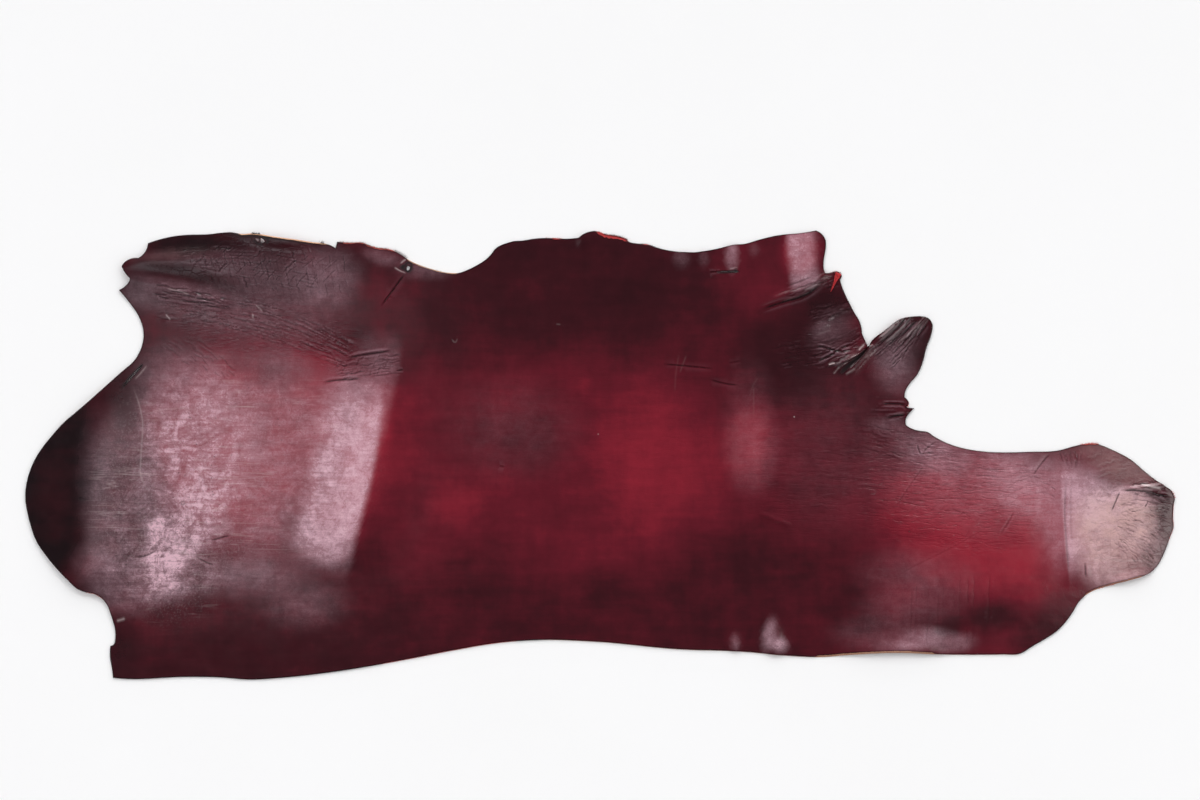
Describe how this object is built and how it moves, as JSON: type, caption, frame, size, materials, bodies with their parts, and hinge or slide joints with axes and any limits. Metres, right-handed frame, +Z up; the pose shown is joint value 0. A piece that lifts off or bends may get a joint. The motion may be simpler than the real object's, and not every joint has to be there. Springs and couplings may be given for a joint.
{
  "type": "leather side",
  "caption": "Half of a tanned cattle hide, a large thin glossy burgundy sheet with a natural outline, lying grain side up, to be cut into pieces.",
  "frame": {"origin": "on the surface that the side lies on, under the middle of its outer box", "axes": "+X from the rump to the muzzle, +Y from the backbone cut to the belly, +Z up out of the grain side"},
  "size_m": [2.528, 0.9882, 0.0112],
  "materials": {
    "leather": "glossy burgundy grain with darker flanks, scuffs and scars"
  },
  "bodies": {
    "root": {"hide": "leather"}
  },
  "joints": []
}
